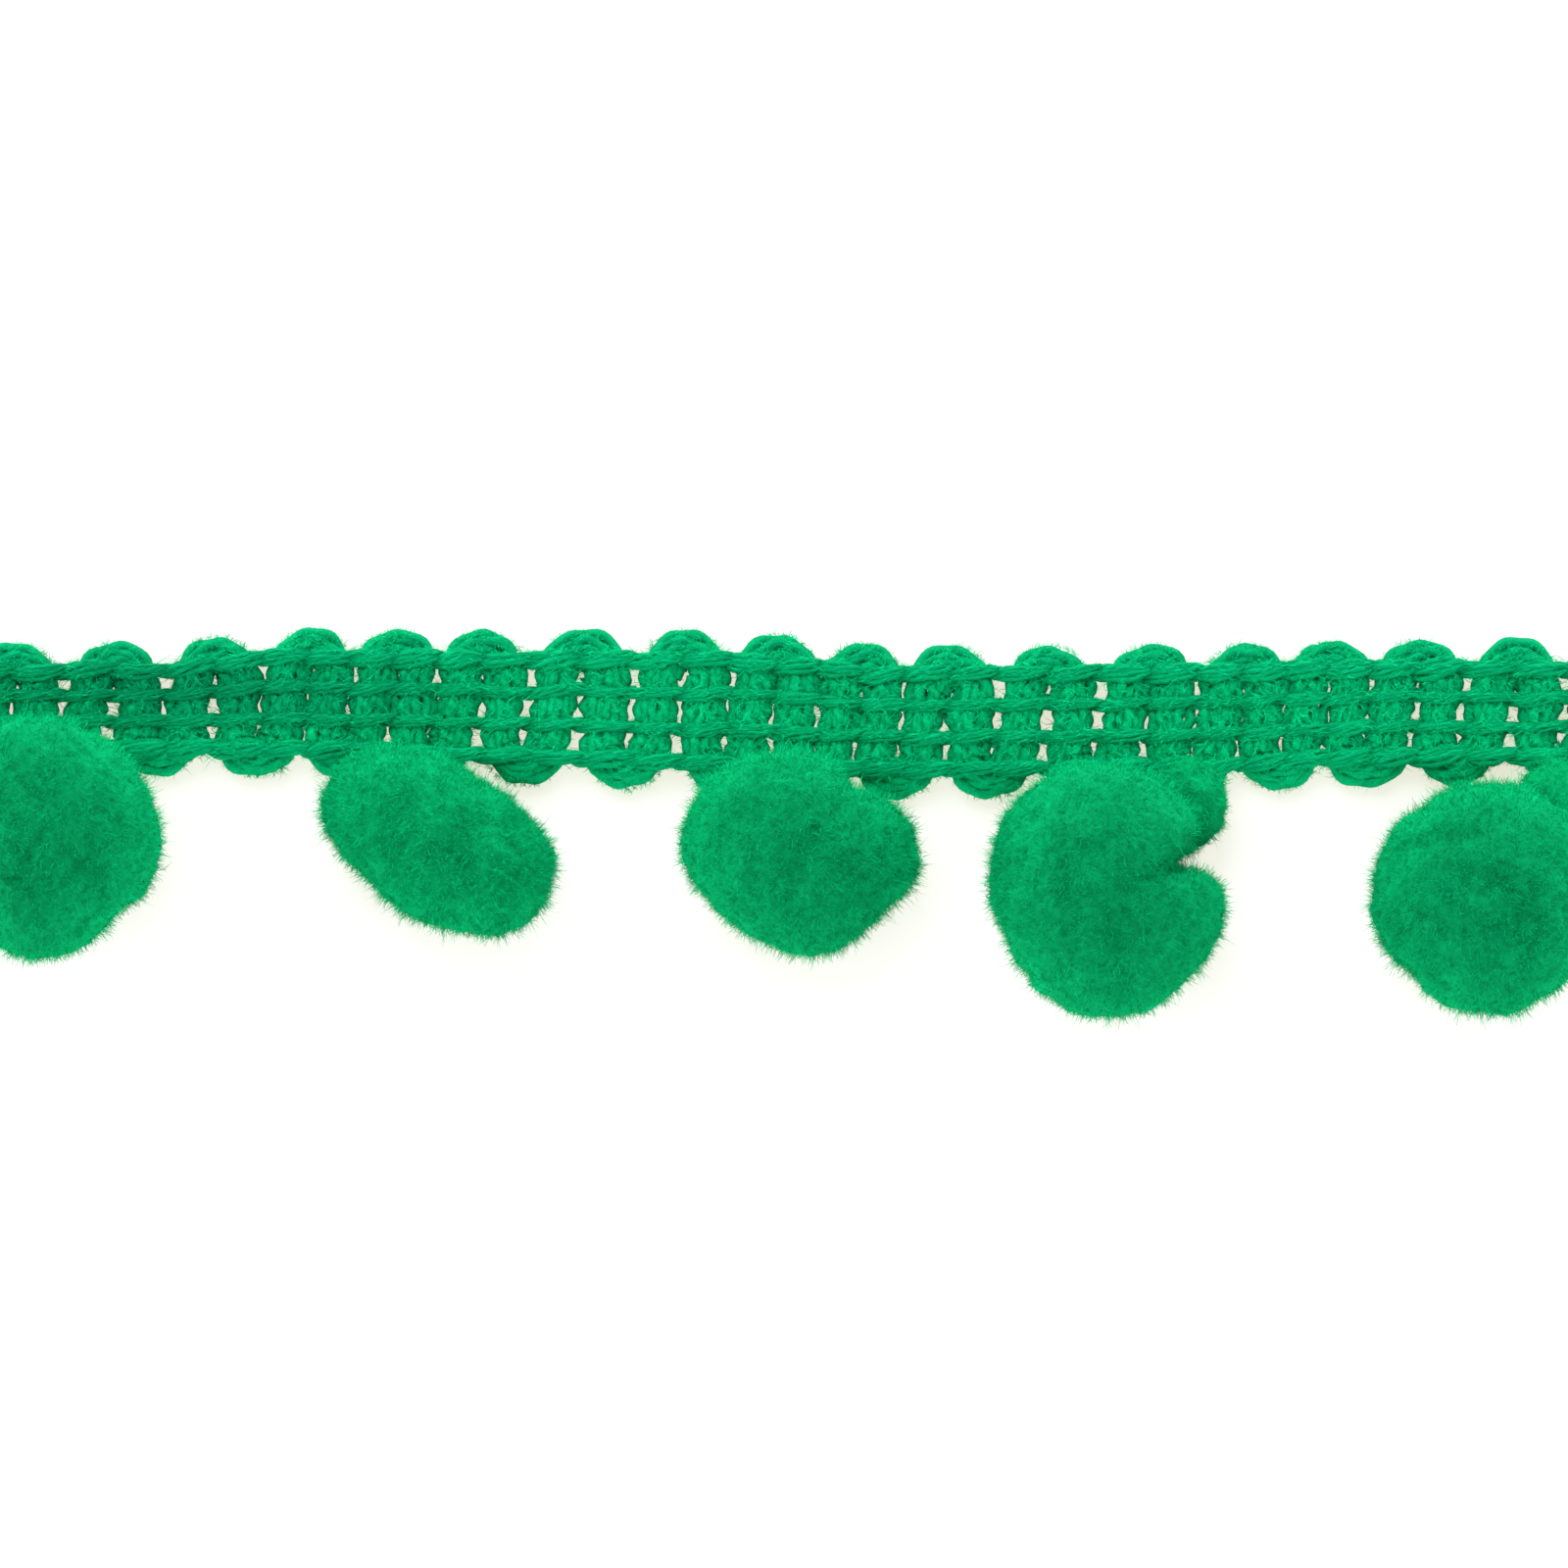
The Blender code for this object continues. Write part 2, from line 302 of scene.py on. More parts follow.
YARN_GREEN = (0.0, 0.47, 0.180, 1)
YARN_DEEP = (0.0, 0.36, 0.126, 1)
SHADE_MIDDLE = (-31 * MM, 1.3 * MM, 0)
SHADE_REACH = (17 * MM, 2.6 * MM)
SHADE_DEPTH = 0.40
# How far the loops are painted darker: painted shade, not a change in the yarn.
LOOP_PAINTED_SHADE = 0.58
RELIEF_DEPTH = 0.15 * MM


def group_socket(group, name, kind, into=True, value=None):
    """A named way in or out of a node group, and its value where nothing is joined to it."""
    made = group.interface.new_socket(
        name=name, in_out="INPUT" if into else "OUTPUT", socket_type=kind
    )
    if value is not None:
        made.default_value = value


fibre_look = bpy.data.node_groups.new("fibre look", "ShaderNodeTree")
group_socket(fibre_look, "Vector", "NodeSocketVector")
group_socket(fibre_look, "Light Colour", "NodeSocketColor")
group_socket(fibre_look, "Deep Colour", "NodeSocketColor")
group_socket(fibre_look, "Blotch Scale", "NodeSocketFloat", value=400.0)
group_socket(fibre_look, "Fibre Scale", "NodeSocketFloat", value=4000.0)
group_socket(fibre_look, "Blotch Share", "NodeSocketFloat", value=0.5)
group_socket(fibre_look, "Shade", "NodeSocketFloat", value=1.0)
group_socket(fibre_look, "Color", "NodeSocketColor", into=False)
group_socket(fibre_look, "Height", "NodeSocketFloat", into=False)
nodes = fibre_look.nodes
links = fibre_look.links
ways_in = nodes.new("NodeGroupInput")
ways_out = nodes.new("NodeGroupOutput")
blotches = nodes.new("ShaderNodeTexNoise")
blotches.inputs["Detail"].default_value = 3
fibres = nodes.new("ShaderNodeTexNoise")
fibres.inputs["Detail"].default_value = 4
fibres.inputs["Roughness"].default_value = 0.65
blend = nodes.new("ShaderNodeMix")
blend.data_type = "FLOAT"
depth = nodes.new("ShaderNodeMapRange")
depth.inputs["From Min"].default_value = 0.36
depth.inputs["From Max"].default_value = 0.62
colour = nodes.new("ShaderNodeMix")
colour.data_type = "RGBA"
shaded = nodes.new("ShaderNodeMix")
shaded.data_type = "RGBA"
shaded.blend_type = "MULTIPLY"
shaded.inputs["Factor"].default_value = 1
links.new(ways_in.outputs["Vector"], blotches.inputs["Vector"])
links.new(ways_in.outputs["Vector"], fibres.inputs["Vector"])
links.new(ways_in.outputs["Blotch Scale"], blotches.inputs["Scale"])
links.new(ways_in.outputs["Fibre Scale"], fibres.inputs["Scale"])
links.new(ways_in.outputs["Blotch Share"], blend.inputs["Factor"])
links.new(fibres.outputs["Fac"], blend.inputs["A"])
links.new(blotches.outputs["Fac"], blend.inputs["B"])
links.new(blend.outputs["Result"], depth.inputs["Value"])
links.new(depth.outputs["Result"], colour.inputs["Factor"])
links.new(ways_in.outputs["Deep Colour"], colour.inputs["A"])
links.new(ways_in.outputs["Light Colour"], colour.inputs["B"])
links.new(colour.outputs["Result"], shaded.inputs["A"])
links.new(ways_in.outputs["Shade"], shaded.inputs["B"])
links.new(shaded.outputs["Result"], ways_out.inputs["Color"])
links.new(fibres.outputs["Fac"], ways_out.inputs["Height"])


def heading_patch_and_painted_shade(nodes, links):
    """The heading is darker in one soft patch, and its loops are painted darker, the upper most:
    painted shade that offsets the key light.
    """
    source = nodes.new("ShaderNodeTexCoord")
    patch_place = nodes.new("ShaderNodeMapping")
    patch_place.vector_type = "TEXTURE"
    patch_place.inputs["Location"].default_value = SHADE_MIDDLE
    patch_place.inputs["Scale"].default_value = (*SHADE_REACH, 1)
    patch = nodes.new("ShaderNodeTexGradient")
    patch.gradient_type = "SPHERICAL"
    patch_shade = nodes.new("ShaderNodeMapRange")
    patch_shade.inputs["To Min"].default_value = 1
    patch_shade.inputs["To Max"].default_value = 1 - SHADE_DEPTH
    painted_loop_shade = nodes.new("ShaderNodeAttribute")
    painted_loop_shade.attribute_name = "painted_loop_shade"
    loop_shade = nodes.new("ShaderNodeMapRange")
    loop_shade.inputs["To Min"].default_value = 1
    loop_shade.inputs["To Max"].default_value = LOOP_PAINTED_SHADE
    both = nodes.new("ShaderNodeMath")
    both.operation = "MULTIPLY"
    links.new(source.outputs["Object"], patch_place.inputs["Vector"])
    links.new(patch_place.outputs["Vector"], patch.inputs["Vector"])
    links.new(patch.outputs["Fac"], patch_shade.inputs["Value"])
    links.new(painted_loop_shade.outputs["Fac"], loop_shade.inputs["Value"])
    links.new(patch_shade.outputs["Result"], both.inputs[0])
    links.new(loop_shade.outputs["Result"], both.inputs[1])
    return both.outputs["Value"]


def fibre_material(name, light, deep, shade, bump, uv_map=None, stretch=(1, 1, 1), **values):
    """A matt fibre finish, with the fibre look's own values. With a UV map its fibres run
    along the piece. Shade makes the nodes that paint it darker or lighter in places."""
    material = bpy.data.materials.new(name)
    material.use_nodes = True
    nodes = material.node_tree.nodes
    links = material.node_tree.links
    shader = nodes["Principled BSDF"]
    shader.inputs["Roughness"].default_value = 0.95
    shader.inputs["Specular IOR Level"].default_value = 0.04
    shader.inputs["Sheen Weight"].default_value = 0.2
    shader.inputs["Sheen Roughness"].default_value = 0.5
    shader.inputs["Sheen Tint"].default_value = (0.0, 1.0, 0.4, 1)
    look = nodes.new("ShaderNodeGroup")
    look.node_tree = fibre_look
    look.inputs["Light Colour"].default_value = light
    look.inputs["Deep Colour"].default_value = deep
    for socket, value in values.items():
        look.inputs[socket.replace("_", " ").title()].default_value = value
    place = nodes.new("ShaderNodeMapping")
    place.inputs["Scale"].default_value = stretch
    if uv_map:
        source = nodes.new("ShaderNodeUVMap")
        source.uv_map = uv_map
        links.new(source.outputs["UV"], place.inputs["Vector"])
    else:
        source = nodes.new("ShaderNodeTexCoord")
        links.new(source.outputs["Object"], place.inputs["Vector"])
    relief = nodes.new("ShaderNodeBump")
    relief.inputs["Strength"].default_value = bump
    relief.inputs["Distance"].default_value = RELIEF_DEPTH
    links.new(shade(nodes, links), look.inputs["Shade"])
    links.new(place.outputs["Vector"], look.inputs["Vector"])
    links.new(look.outputs["Color"], shader.inputs["Base Color"])
    links.new(look.outputs["Height"], relief.inputs["Height"])
    links.new(relief.outputs["Normal"], shader.inputs["Normal"])
    return material


weft_finish = fibre_material(
    "weft yarn",
    YARN_GREEN,
    YARN_DEEP,
    shade=heading_patch_and_painted_shade,
    uv_map="along_yarn",
    stretch=(0.6, 2.6, 1),
    bump=0.7,
    blotch_scale=1.1,
    fibre_scale=5.0,
    blotch_share=0.3,
)
weft.data.materials.append(weft_finish)
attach(weft, "root")
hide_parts("heading")


# The warp is four rows of chain stitches on the face, and their backs under the weft.
# Each stitch is a soft bundle that swells over one pick and slants up into the next one.
# The two rows at the edges are of a thicker yarn than the two between them.

CHAIN_TOPS = (1.93 * MM, 1.84 * MM, 1.84 * MM, 1.93 * MM)
CHAIN_HALF_WIDTHS = (0.50 * MM, 0.35 * MM, 0.35 * MM, 0.50 * MM)
CHAIN_HALF_HEIGHTS = (0.32 * MM, 0.24 * MM, 0.24 * MM, 0.32 * MM)
CHAIN_WANDER = 0.16 * MM
CHAIN_WANDER_LENGTH = 3 * MM
STITCH_OVERLAP = 0.42 * MM
STITCH_SLANT = 0.15 * MM
SLANT_VARIES = 0.7
STITCH_STRAY = 0.10 * MM
WIDTH_VARIES = 0.3
STITCH_TILT = 0.08 * MM
STITCH_DIP = 0.38 * MM
STITCH_ENDS = 0.40
STITCH_SWELL = 0.60
STITCH_FULLNESS = 0.55
STITCH_TWIST = math.pi / 4 / PICK_PITCH
STITCH_CRIMP = 0.02 * MM
STITCH_SHARES = np.linspace(0, 1, 15)
STITCH_STRANDS = (
    (-0.68, -0.1),
    (-0.42, 0.3),
    (-0.14, 0.4),
    (0.14, 0.4),
    (0.42, 0.3),
    (0.68, -0.1),
)
BACK_STRANDS = ((-0.4, 0), (0.4, 0))
BACK_SHARES = np.linspace(0, 1, 9)
BACK_ENDS = 0.55
BACK_SWELL = 0.45
BACK_OVERLAP = 0.30 * MM
BACK_SLANT = 0.24 * MM
BACK_HALF_WIDTH = 0.34 * MM
BACK_HALF_HEIGHT = 0.26 * MM
BACK_HEIGHT = 0.33 * MM
BACK_RISE = 0.14 * MM


def chain_middle(x, number):
    """The y of the middle of a row of stitches at x."""
    wander = CHAIN_WANDER * noise.noise(Vector((x / CHAIN_WANDER_LENGTH, number * 7.0, 0)))
    return across_heading(x, CHAIN_MIDDLES[number]) + wander


def stitch_route(gap, number):
    """One stitch of a chain, over the pick after a gap."""
    half_width = CHAIN_HALF_WIDTHS[number]
    half_height = CHAIN_HALF_HEIGHTS[number]
    start = gap_x(gap) - STITCH_OVERLAP
    end = gap_x(gap + 1) + STITCH_OVERLAP
    stray = noise.noise_vector(Vector((gap * 3.3, number * 9.1, 4.0)))
    half_width *= 1 + WIDTH_VARIES * stray.z
    slant = STITCH_SLANT * (1 + SLANT_VARIES * stray.y)
    rows = []
    for share in STITCH_SHARES:
        x = start + (end - start) * share
        arch = math.sin(math.pi * share)
        y = chain_middle(x, number) + slant * (2 * share - 1) + STITCH_STRAY * stray.x * arch
        z = CHAIN_TOPS[number] - half_height - STITCH_DIP * (1 - arch) + STITCH_TILT * (share - 0.5)
        swell = STITCH_ENDS + STITCH_SWELL * arch**STITCH_FULLNESS
        rows.append((x, y, z, half_width * swell, half_height * swell))
    return np.array(rows)


def back_route(gap, number):
    """The back of one stitch, under the same pick."""
    start = gap_x(gap) - BACK_OVERLAP
    end = gap_x(gap + 1) + BACK_OVERLAP
    rows = []
    for share in BACK_SHARES:
        x = start + (end - start) * share
        arch = math.sin(math.pi * share)
        y = chain_middle(x, number) + BACK_SLANT * (share - 0.5)
        z = BACK_HEIGHT + BACK_RISE * (1 - arch)
        swell = BACK_ENDS + BACK_SWELL * arch
        rows.append((x, y, z, BACK_HALF_WIDTH * swell, BACK_HALF_HEIGHT * swell))
    return np.array(rows)


# The chain yarn is painted deeper than the weft: painted shade that offsets the light the raised
# stitches catch.
chain_finish = fibre_material(
    "chain stitch yarn",
    (0.0, 0.42, 0.162, 1),
    (0.0, 0.29, 0.098, 1),
    shade=heading_patch_and_painted_shade,
    uv_map="along_yarn",
    stretch=(0.35, 2.2, 1),
    bump=0.9,
    blotch_scale=1.2,
    fibre_scale=6.0,
    blotch_share=0.35,
)
stitch_routes = []
for number in range(len(CHAIN_MIDDLES)):
    shape = bmesh.new()
    shape.loops.layers.uv.new("along_yarn")
    for gap in range(FIRST_GAP, LAST_GAP):
        route = stitch_route(gap, number)
        stitch_routes.append(route)
        lay_yarn(
            shape,
            route,
            STITCH_STRANDS,
            strand_size=(0.34, 0.66),
            crimp=STITCH_CRIMP,
            loose=0.34,
            twist=STITCH_TWIST,
            seed=number * 50 + gap,
        )
    face = finish_yarn(f"chain_{number + 1}_face", shape)
    # The edge chains take the painted loop shade too, where they come near the edges.
    paint_loop_shade(face)
    shape = bmesh.new()
    shape.loops.layers.uv.new("along_yarn")
    for gap in range(FIRST_GAP, LAST_GAP):
        lay_yarn(
            shape,
            back_route(gap, number),
            BACK_STRANDS,
            strand_size=(0.6, 0.9),
            crimp=STITCH_CRIMP,
            seed=number * 50 + gap,
        )
    back = finish_yarn(f"chain_{number + 1}_back", shape)
    for chain in (face, back):
        chain.data.materials.append(chain_finish)
        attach(chain, "root")


# Loose fibre ends stand out of all the yarn of the heading, and blur its outline. Each
# is a bent sliver, and they are joined in one mesh for each yarn that they grow from.

FLOOR_GAP = 0.03 * MM
UNDER_SHARE = 0.18
ROOT_REACH = 0.95
ROOT_DEPTH = 0.05 * MM
CLUMP_LENGTH = 0.6 * MM
CLUMP_DEPTH = 1.2
LEAST_CLUMP = 0.3
SHORTEST = 0.35
SHORT_BIAS = 1.2
BEND_RISES = (0.6, 1.3)
TIP_RISES = (-0.3, 1.1)
TIP_TURN = 0.9
FLAT_TILT = 0.4
WIDTH_SPREAD = (0.7, 1.2)


def unit(vectors):
    """Rows of vectors, each made one long."""
    return vectors / np.maximum(np.linalg.norm(vectors, axis=1, keepdims=True), 1e-12)


def yarn_roots(routes, count, spread, chance):
    """About this many random points on the outside of some yarns, the way out of them there,
    and the way along the yarn. Spread is how far round from the top they go, in half turns,
    and there are fewer on the inside of a bend."""
    rows = np.concatenate(routes)
    frames = [yarn_frame(route) for route in routes]
    ahead = np.concatenate([ahead for _, ahead in frames])
    curve = np.concatenate(
        [np.gradient(np.unwrap(np.arctan2(ahead[:, 1], ahead[:, 0])), at) for at, ahead in frames]
    )
    picked = chance.integers(0, len(rows), 2 * count)
    angle = (0.5 + spread * chance.uniform(-0.5, 0.5, 2 * count)) * math.pi
    kept = chance.random(2 * count) < (1 + curve[picked] * rows[picked, 3] * np.cos(angle)) / 2
    rows = rows[picked[kept]]
    ahead = ahead[picked[kept]]
    angle = angle[kept]
    count = len(rows)
    angle = np.where(chance.random(count) < UNDER_SHARE, -angle, angle)
    out = np.stack([ahead[:, 1], -ahead[:, 0], np.zeros(count)], axis=1)
    far = np.cos(angle)[:, None]
    high = np.sin(angle)[:, None]
    upwards = np.array([[0, 0, 1.0]])
    points = rows[:, :3] + out * rows[:, 3:4] * far * ROOT_REACH + upwards * rows[:, 4:5] * high
    along = np.stack([ahead[:, 0], ahead[:, 1], np.zeros(count)], axis=1)
    points += along * chance.uniform(-1, 1, (count, 1)) * YARN_STEP
    return points, unit(out * far / rows[:, 3:4] + upwards * high / rows[:, 4:5]), along


def grow_fibres(name, roots, outward, along, grain, length, width, rise, lean, chance, material):
    """A coat of bent slivers. Rise and lean are how far one goes out from its root and
    sideways, in shares of its length, and grain is how much they follow the way along."""
    count = len(roots)
    size = length * chance.uniform(SHORTEST, 1.0, (count, 1)) ** SHORT_BIAS
    clumps = np.array([[noise.noise(Vector(root) / CLUMP_LENGTH)] for root in roots])
    size *= np.maximum(1 + CLUMP_DEPTH * clumps, LEAST_CLUMP)
    sign = np.where(chance.random((count, 1)) < 0.5, -1, 1)
    scatter = np.cross(outward, chance.normal(size=(count, 3)))
    sideways = unit(grain * sign * along + (1 - grain) * unit(scatter))
    turned = unit(sideways + TIP_TURN * chance.normal(size=(count, 3)))
    first_rise = rise * outward * chance.uniform(*BEND_RISES, (count, 1))
    bend = roots + size / 2 * (first_rise + lean * sideways)
    last_rise = rise * outward * chance.uniform(*TIP_RISES, (count, 1))
    tips = bend + size / 2 * (last_rise + lean * turned)
    tilted = outward + FLAT_TILT * chance.normal(size=(count, 3))
    flat = unit(np.cross(tips - roots, tilted))
    half = flat * width * chance.uniform(*WIDTH_SPREAD, (count, 1)) / 2
    roots = roots - outward * ROOT_DEPTH
    places = np.stack([roots - half, roots + half, bend - half, bend + half, tips], axis=1)
    places = places.reshape(-1, 3)
    places[:, 2] = np.maximum(places[:, 2], FLOOR_GAP)
    first = 5 * np.arange(count)[:, None, None]
    faces = (first + np.array([[0, 1, 2], [1, 3, 2], [2, 3, 4]])).reshape(-1, 3)
    mesh = bpy.data.meshes.new(name)
    mesh.from_pydata(places, [], faces)
    mesh.shade_smooth()
    mesh.materials.append(material)
    fibres = bpy.data.objects.new(name, mesh)
    bpy.context.scene.collection.objects.link(fibres)
    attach(fibres, "root")
    return fibres


loose_finish = fibre_material(
    "loose yarn fibres",
    (0.0, 0.56, 0.216, 1),
    (0.0, 0.32, 0.108, 1),
    shade=heading_patch_and_painted_shade,
    bump=0,
    blotch_scale=1500.0,
    fibre_scale=6000.0,
    blotch_share=0.4,
)
chance = np.random.default_rng(3)
for name, routes, count, spread, grain, length, width, rise, lean in (
    ("pick_fibres", pick_routes, 18000, 0.75, 0.20, 0.85, 0.034, 0.50, 0.75),
    ("loop_fibres", loop_routes, 27000, 1.2, 0.30, 0.62, 0.026, 0.46, 0.72),
    ("chain_fibres", stitch_routes, 20000, 0.95, 0.70, 0.85, 0.032, 0.42, 0.75),
):
    fuzz = grow_fibres(
        name,
        *yarn_roots(routes, count, spread, chance),
        grain=grain,
        length=length * MM,
        width=width * MM,
        rise=rise,
        lean=lean,
        chance=chance,
        material=loose_finish,
    )


# Each pompom is a ball of cut pile, its fibres teased out until they mat together. One is
# a slanting oval, others are dented, and two keep a thick tuft at the heading. They lie
# on the surface and lean against the lower edge of the heading, over its loops.

POMPOM_COLUMNS = ("node", "x", "y", "half_length", "half_width", "half_height", "turn")
POMPOMS = [
    ("pompom_1", -37.7, -6.1, 6.40, 6.20, 5.1, -20),
    ("pompom_2", -17.6, -6.3, 6.60, 4.15, 4.1, -31),
    ("pompom_3", 0.8, -6.8, 6.30, 5.25, 4.8, -10),
    ("pompom_4", 16.4, -8.75, 6.75, 6.10, 5.2, 118),
    ("pompom_5", 35.6, -9.2, 6.15, 6.10, 5.0, 30),
]
DENTS = {
    "pompom_1": [(215, 0.5, 24), (-48, 0.6, 18), (-95, -0.3, 16)],
    "pompom_2": [(205, 0.2, 20), (-5, -0.3, 14)],
    "pompom_3": [(48, 0.9, 22), (-38, 0.5, 18), (-85, -0.2, 20), (-145, 0.4, 20)],
    "pompom_4": [(20, 2.3, 11), (-48, 0.3, 20), (-105, -0.3, 20)],
    "pompom_5": [(225, 0.4, 20)],
}
TUFT_COLUMNS = ("x", "y", "half_length", "half_width", "half_height", "turn")
TUFTS = {
    "pompom_4": (20.35, -4.6, 2.6, 2.1, 2.4, 66),
    "pompom_5": (39.4, -4.8, 2.7, 2.5, 2.4, 60),
}
REST_SHARE = 0.92
SEAT_HEIGHT = 2.2 * MM
SEAT_GAP = 1.35 * MM
SEAT_SPAN = 0.8
CORE_SUBDIVISIONS = 5
CORE_INSET = 0.34 * MM
TUFT_INSET = 0.12 * MM
BIG_LUMP = 0.28 * MM
BIG_LUMP_LENGTH = 1.9 * MM
SMALL_LUMP = 0.26 * MM
SMALL_LUMP_LENGTH = 0.65 * MM
# Where the pile's painted light and painted shade begin and end, and how strong they are.
RIM_HEIGHT = 4.7 * MM
TOP_HEIGHT = 9.9 * MM
RIM_PAINTED_LIGHT = 1.06
TOP_PAINTED_SHADE = 0.73


def oval_reach(row, direction):
    """How far a plain oval reaches from its middle in a direction."""
    turn = math.radians(row["turn"])
    along = direction.x * math.cos(turn) + direction.y * math.sin(turn)
    across = direction.y * math.cos(turn) - direction.x * math.sin(turn)
    return MM / math.sqrt(
        (along / row["half_length"]) ** 2
        + (across / row["half_width"]) ** 2
        + (direction.z / row["half_height"]) ** 2
    )


def ball_reach(row, direction):
    """How far a pompom's pile reaches from its middle in a direction. A dent of less than
    nothing is a bulge."""
    bearing = math.degrees(math.atan2(direction.y, direction.x))
    level = direction.x**2 + direction.y**2
    reach = oval_reach(row, direction)
    for dent_at, depth, spread in DENTS[row["node"]]:
        off = ((bearing - dent_at + 180) % 360 - 180) / spread
        reach -= depth * MM * math.exp(-(off**2)) * level
    return reach


def clear_reach(x_span, middle, direction):
    """How far it may reach before it meets the surface or the heading."""
    down = middle.z / -direction.z if direction.z < 0 else math.inf
    if direction.z >= 0 or direction.y <= 0:
        return down
    front = min(edge_lines(middle.x - x_span)[1], edge_lines(middle.x + x_span)[1]) - SEAT_GAP
    back = (front - middle.y) / direction.y
    return min(down, max(back, (SEAT_HEIGHT - middle.z) / direction.z))


def lumps(place):
    """How far the pile stands proud of its even shape at a place."""
    big = BIG_LUMP * noise.noise(place / BIG_LUMP_LENGTH)
    return big + SMALL_LUMP * noise.noise(place / SMALL_LUMP_LENGTH)


def pile_core(name, row, reach_of, inset):
    """The matted inside of a ball or tuft, flat where it rests, and clear of the heading."""
    middle = Vector((row["x"], row["y"], REST_SHARE * row["half_height"])) * MM
    shape = bmesh.new()
    bmesh.ops.create_icosphere(shape, subdivisions=CORE_SUBDIVISIONS, radius=1)
    for vert in shape.verts:
        direction = vert.co.normalized()
        reach = reach_of(row, direction)
        reach += lumps(direction * reach + middle) - inset
        clear = clear_reach(row["half_length"] * MM * SEAT_SPAN, middle, direction)
        vert.co = middle + direction * min(reach, clear - inset / 2)
    return as_piece(name, shape)


def points_on(piece, count, chance):
    """Random points on a piece, the way out of it at each, and a way along it."""
    mesh = piece.data
    mesh.calc_loop_triangles()
    places = np.empty(len(mesh.vertices) * 3, np.float32)
    mesh.vertices.foreach_get("co", places)
    corners = np.empty(len(mesh.loop_triangles) * 3, np.int32)
    mesh.loop_triangles.foreach_get("vertices", corners)
    corners = places.reshape(-1, 3)[corners.reshape(-1, 3)].astype(float)
    normals = np.cross(corners[:, 1] - corners[:, 0], corners[:, 2] - corners[:, 0])
    sizes = np.linalg.norm(normals, axis=1)
    picked = chance.choice(len(corners), count, p=sizes / sizes.sum())
    shares = np.sort(chance.random((count, 2)), axis=1)
    weights = np.stack([shares[:, 0], shares[:, 1] - shares[:, 0], 1 - shares[:, 1]], axis=1)
    outward = unit(normals[picked])
    along = unit(np.cross(outward, [[0.3, 0.2, 1.0]]))
    return np.einsum("nk,nkd->nd", weights, corners[picked]), outward, along


def pile_painted_light_and_shade(nodes, links):
    """The pile is painted darker on top of a ball and lighter at its rim: painted shade and light,
    standing in for light that shines through the fibres at the rim.
    """
    source = nodes.new("ShaderNodeTexCoord")
    parts = nodes.new("ShaderNodeSeparateXYZ")
    shade = nodes.new("ShaderNodeMapRange")
    shade.interpolation_type = "SMOOTHSTEP"
    shade.inputs["From Min"].default_value = RIM_HEIGHT
    shade.inputs["From Max"].default_value = TOP_HEIGHT
    shade.inputs["To Min"].default_value = RIM_PAINTED_LIGHT
    shade.inputs["To Max"].default_value = TOP_PAINTED_SHADE
    links.new(source.outputs["Object"], parts.inputs["Vector"])
    links.new(parts.outputs["Z"], shade.inputs["Value"])
    return shade.outputs["Result"]


def pile_material(name, light, deep, bump=0):
    """The fibre finish as it looks in cut pile."""
    return fibre_material(
        name,
        light,
        deep,
        shade=pile_painted_light_and_shade,
        bump=bump,
        blotch_scale=420.0,
        fibre_scale=3000.0,
        blotch_share=0.35,
    )


# One pile yarn in three copies: the core is painted deepest, painted shade inside the pile, and the
# stray fibres are painted lightest, painted light caught at the rim.
core_painted_shade_finish = pile_material("pompom pile painted shade", (0, 0.31, 0.106, 1), (0, 0.21, 0.064, 1), bump=0.8)
coat_finish = pile_material("pompom coat", (0, 0.375, 0.134, 1), (0, 0.235, 0.076, 1))
stray_painted_light_finish = pile_material("pompom stray fibres painted light", (0, 0.49, 0.184, 1), (0, 0.36, 0.128, 1))

# The two kinds of fibre on a core: how many on a ball and on a tuft, and their shape.
PILE_FIBRES = (
    ("coat", coat_finish, (18500, 4000), 0.95, 0.030, 0.38, 0.65),
    ("stray", stray_painted_light_finish, (13000, 2000), 0.92, 0.021, 0.90, 0.35),
)
for values in POMPOMS:
    row = dict(zip(POMPOM_COLUMNS, values))
    node = row["node"]
    chance = np.random.default_rng(int(node[-1]))
    cores = [pile_core(node + "_pile", row, ball_reach, CORE_INSET)]
    if node in TUFTS:
        tuft = dict(zip(TUFT_COLUMNS, TUFTS[node]))
        cores.append(pile_core(node + "_tuft", tuft, oval_reach, TUFT_INSET))
    for number, core in enumerate(cores):
        core.data.materials.append(core_painted_shade_finish)
        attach(core, "root")
        for kind, finish, counts, length, width, rise, lean in PILE_FIBRES:
            fibres = grow_fibres(
                f"{core.name}_{kind}",
                *points_on(core, counts[number], chance),
                grain=0,
                length=length * MM,
                width=width * MM,
                rise=rise,
                lean=lean,
                chance=chance,
                material=finish,
            )
    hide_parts(node)


# The surface under the trim is a plain warm white board with no edge in sight. The trim
# lies loose on it, and an even glow keeps it nearly blank, with faint shadows.

FLOOR_SIZE = 3.0

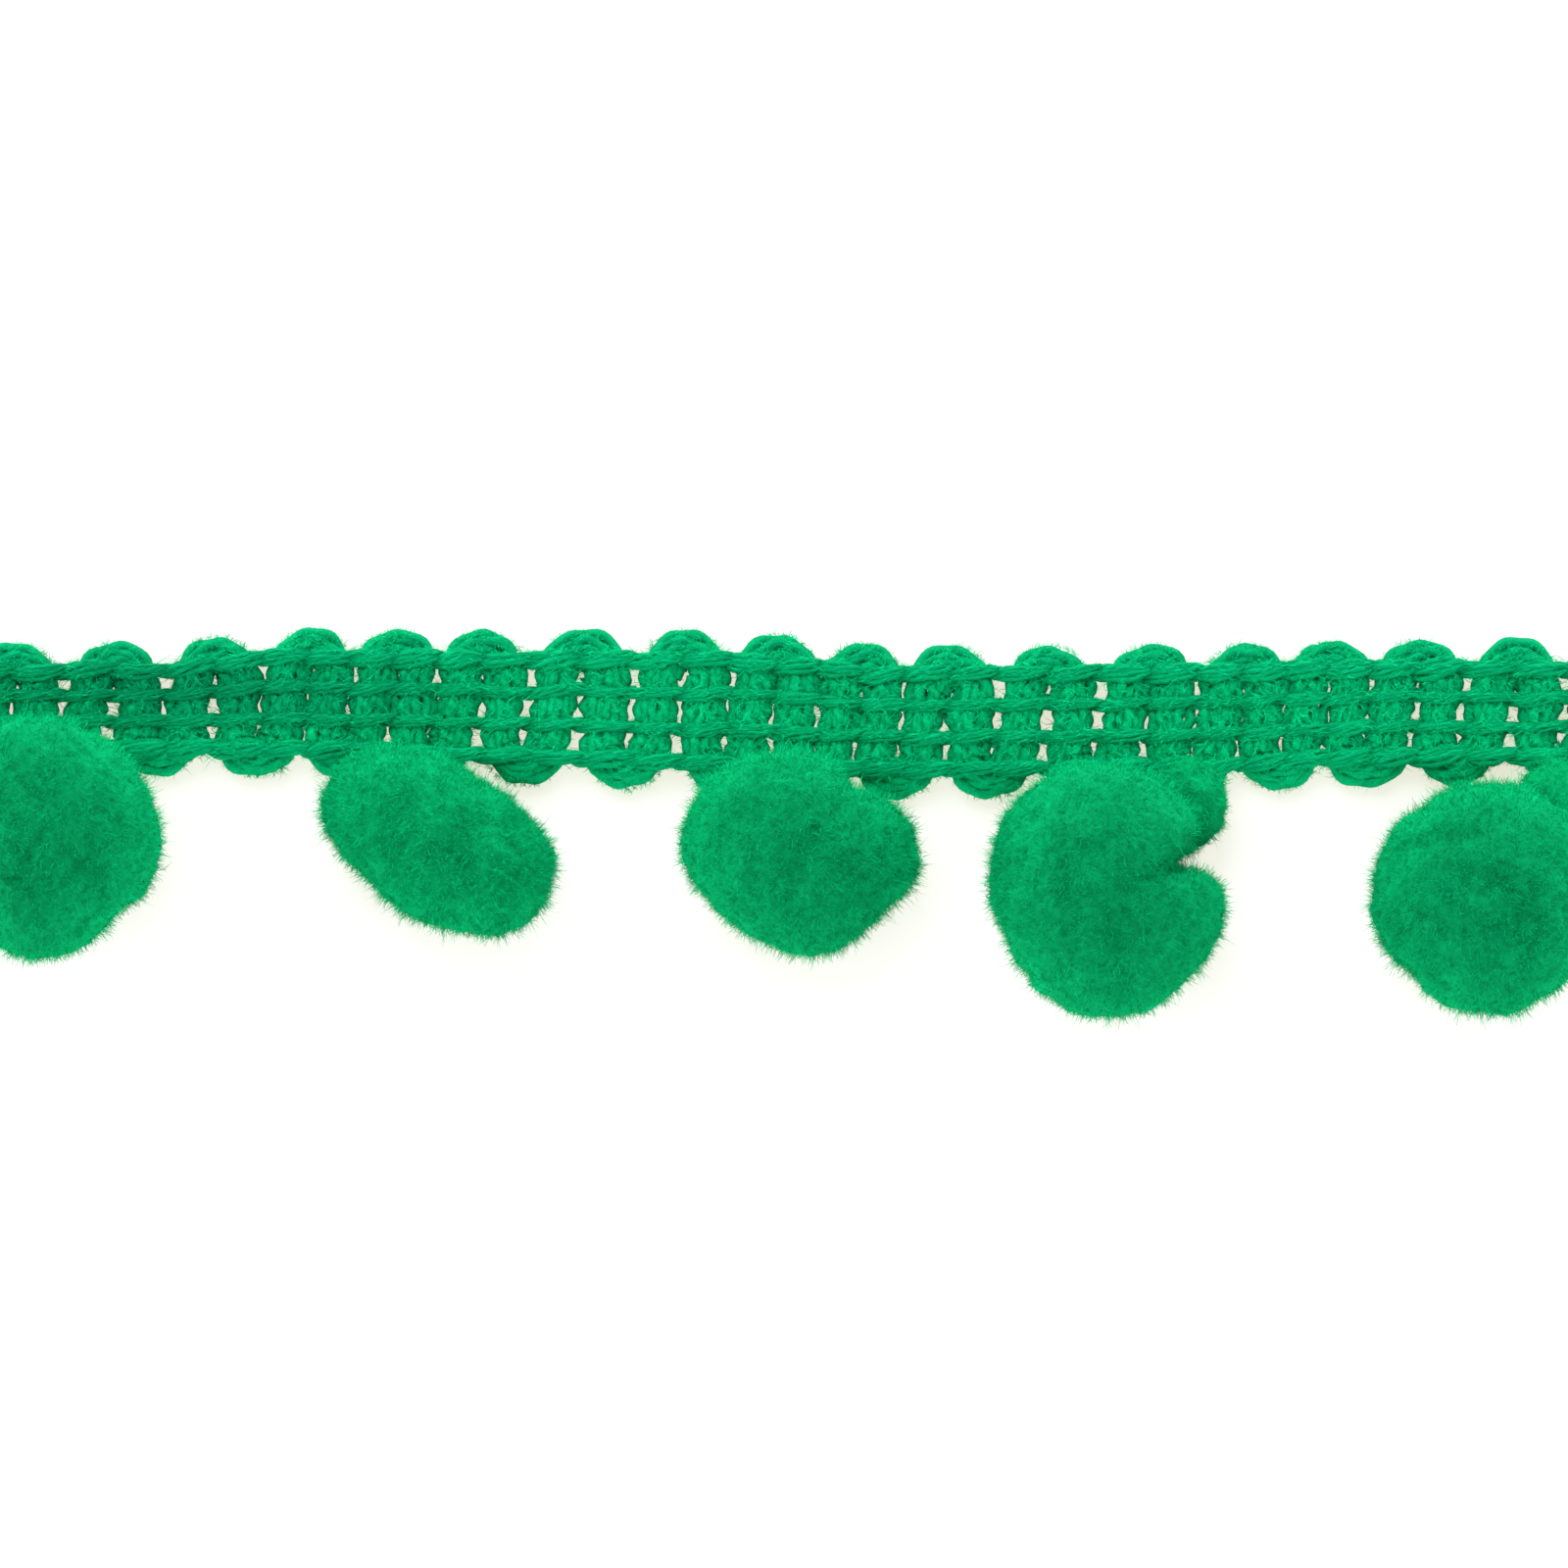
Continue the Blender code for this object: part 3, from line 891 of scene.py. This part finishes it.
shape = bmesh.new()
bmesh.ops.create_grid(shape, x_segments=1, y_segments=1, size=FLOOR_SIZE / 2)
floor = as_piece("floor", shape)
board = bpy.data.materials.new("warm white board")
board.use_nodes = True
paint = board.node_tree.nodes["Principled BSDF"]
paint.inputs["Base Color"].default_value = (0.32, 0.33, 0.43, 1)
paint.inputs["Emission Color"].default_value = (0.73, 0.70, 0.57, 1)
paint.inputs["Emission Strength"].default_value = 1
paint.inputs["Roughness"].default_value = 0.9
paint.inputs["Specular IOR Level"].default_value = 0.1
floor.data.materials.append(board)


# The camera looks straight down through a long lens. A broad soft light stands beyond
# the heading, so that the pompoms are lightest towards it, and four low ones stand round.

VIEW_WIDTH = 80 * MM
VIEW_Y = -3.4 * MM
CAMERA_HEIGHT = 0.60
LOW_LIGHT_HEIGHT = 0.12

camera_data = bpy.data.cameras.new("camera")
camera_data.lens = camera_data.sensor_width * CAMERA_HEIGHT / VIEW_WIDTH
camera_data.clip_start = 0.01
camera_data.clip_end = 10
camera = bpy.data.objects.new("camera", camera_data)
camera.location = (0, VIEW_Y, CAMERA_HEIGHT)
bpy.context.scene.collection.objects.link(camera)
bpy.context.scene.camera = camera


def soft_light(name, place, size, power):
    """A round lamp that shines from a place at the middle of the trim."""
    data = bpy.data.lights.new(name, "AREA")
    data.shape = "DISK"
    data.size = size
    data.energy = power
    light = bpy.data.objects.new(name, data)
    light.location = place
    light.rotation_euler = (-Vector(place)).to_track_quat("-Z", "Y").to_euler()
    bpy.context.scene.collection.objects.link(light)


soft_light("key light", (-0.15, 0.40, 0.60), size=0.45, power=3.0)
for name, x, y, power in (
    ("left", -0.6, 0.0, 4.2),
    ("right", 0.6, 0.0, 3.4),
    ("near", 0.0, -0.6, 2.4),
    ("far", 0.0, 0.6, 3.6),
):
    soft_light(name + " light", (x, y, LOW_LIGHT_HEIGHT), size=0.3, power=power)

world = bpy.data.worlds.new("studio")
world.use_nodes = True
world.node_tree.nodes["Background"].inputs["Color"].default_value = (1, 1, 1, 1)
world.node_tree.nodes["Background"].inputs["Strength"].default_value = 0.80
bpy.context.scene.world = world
bpy.context.scene.view_settings.view_transform = "Standard"
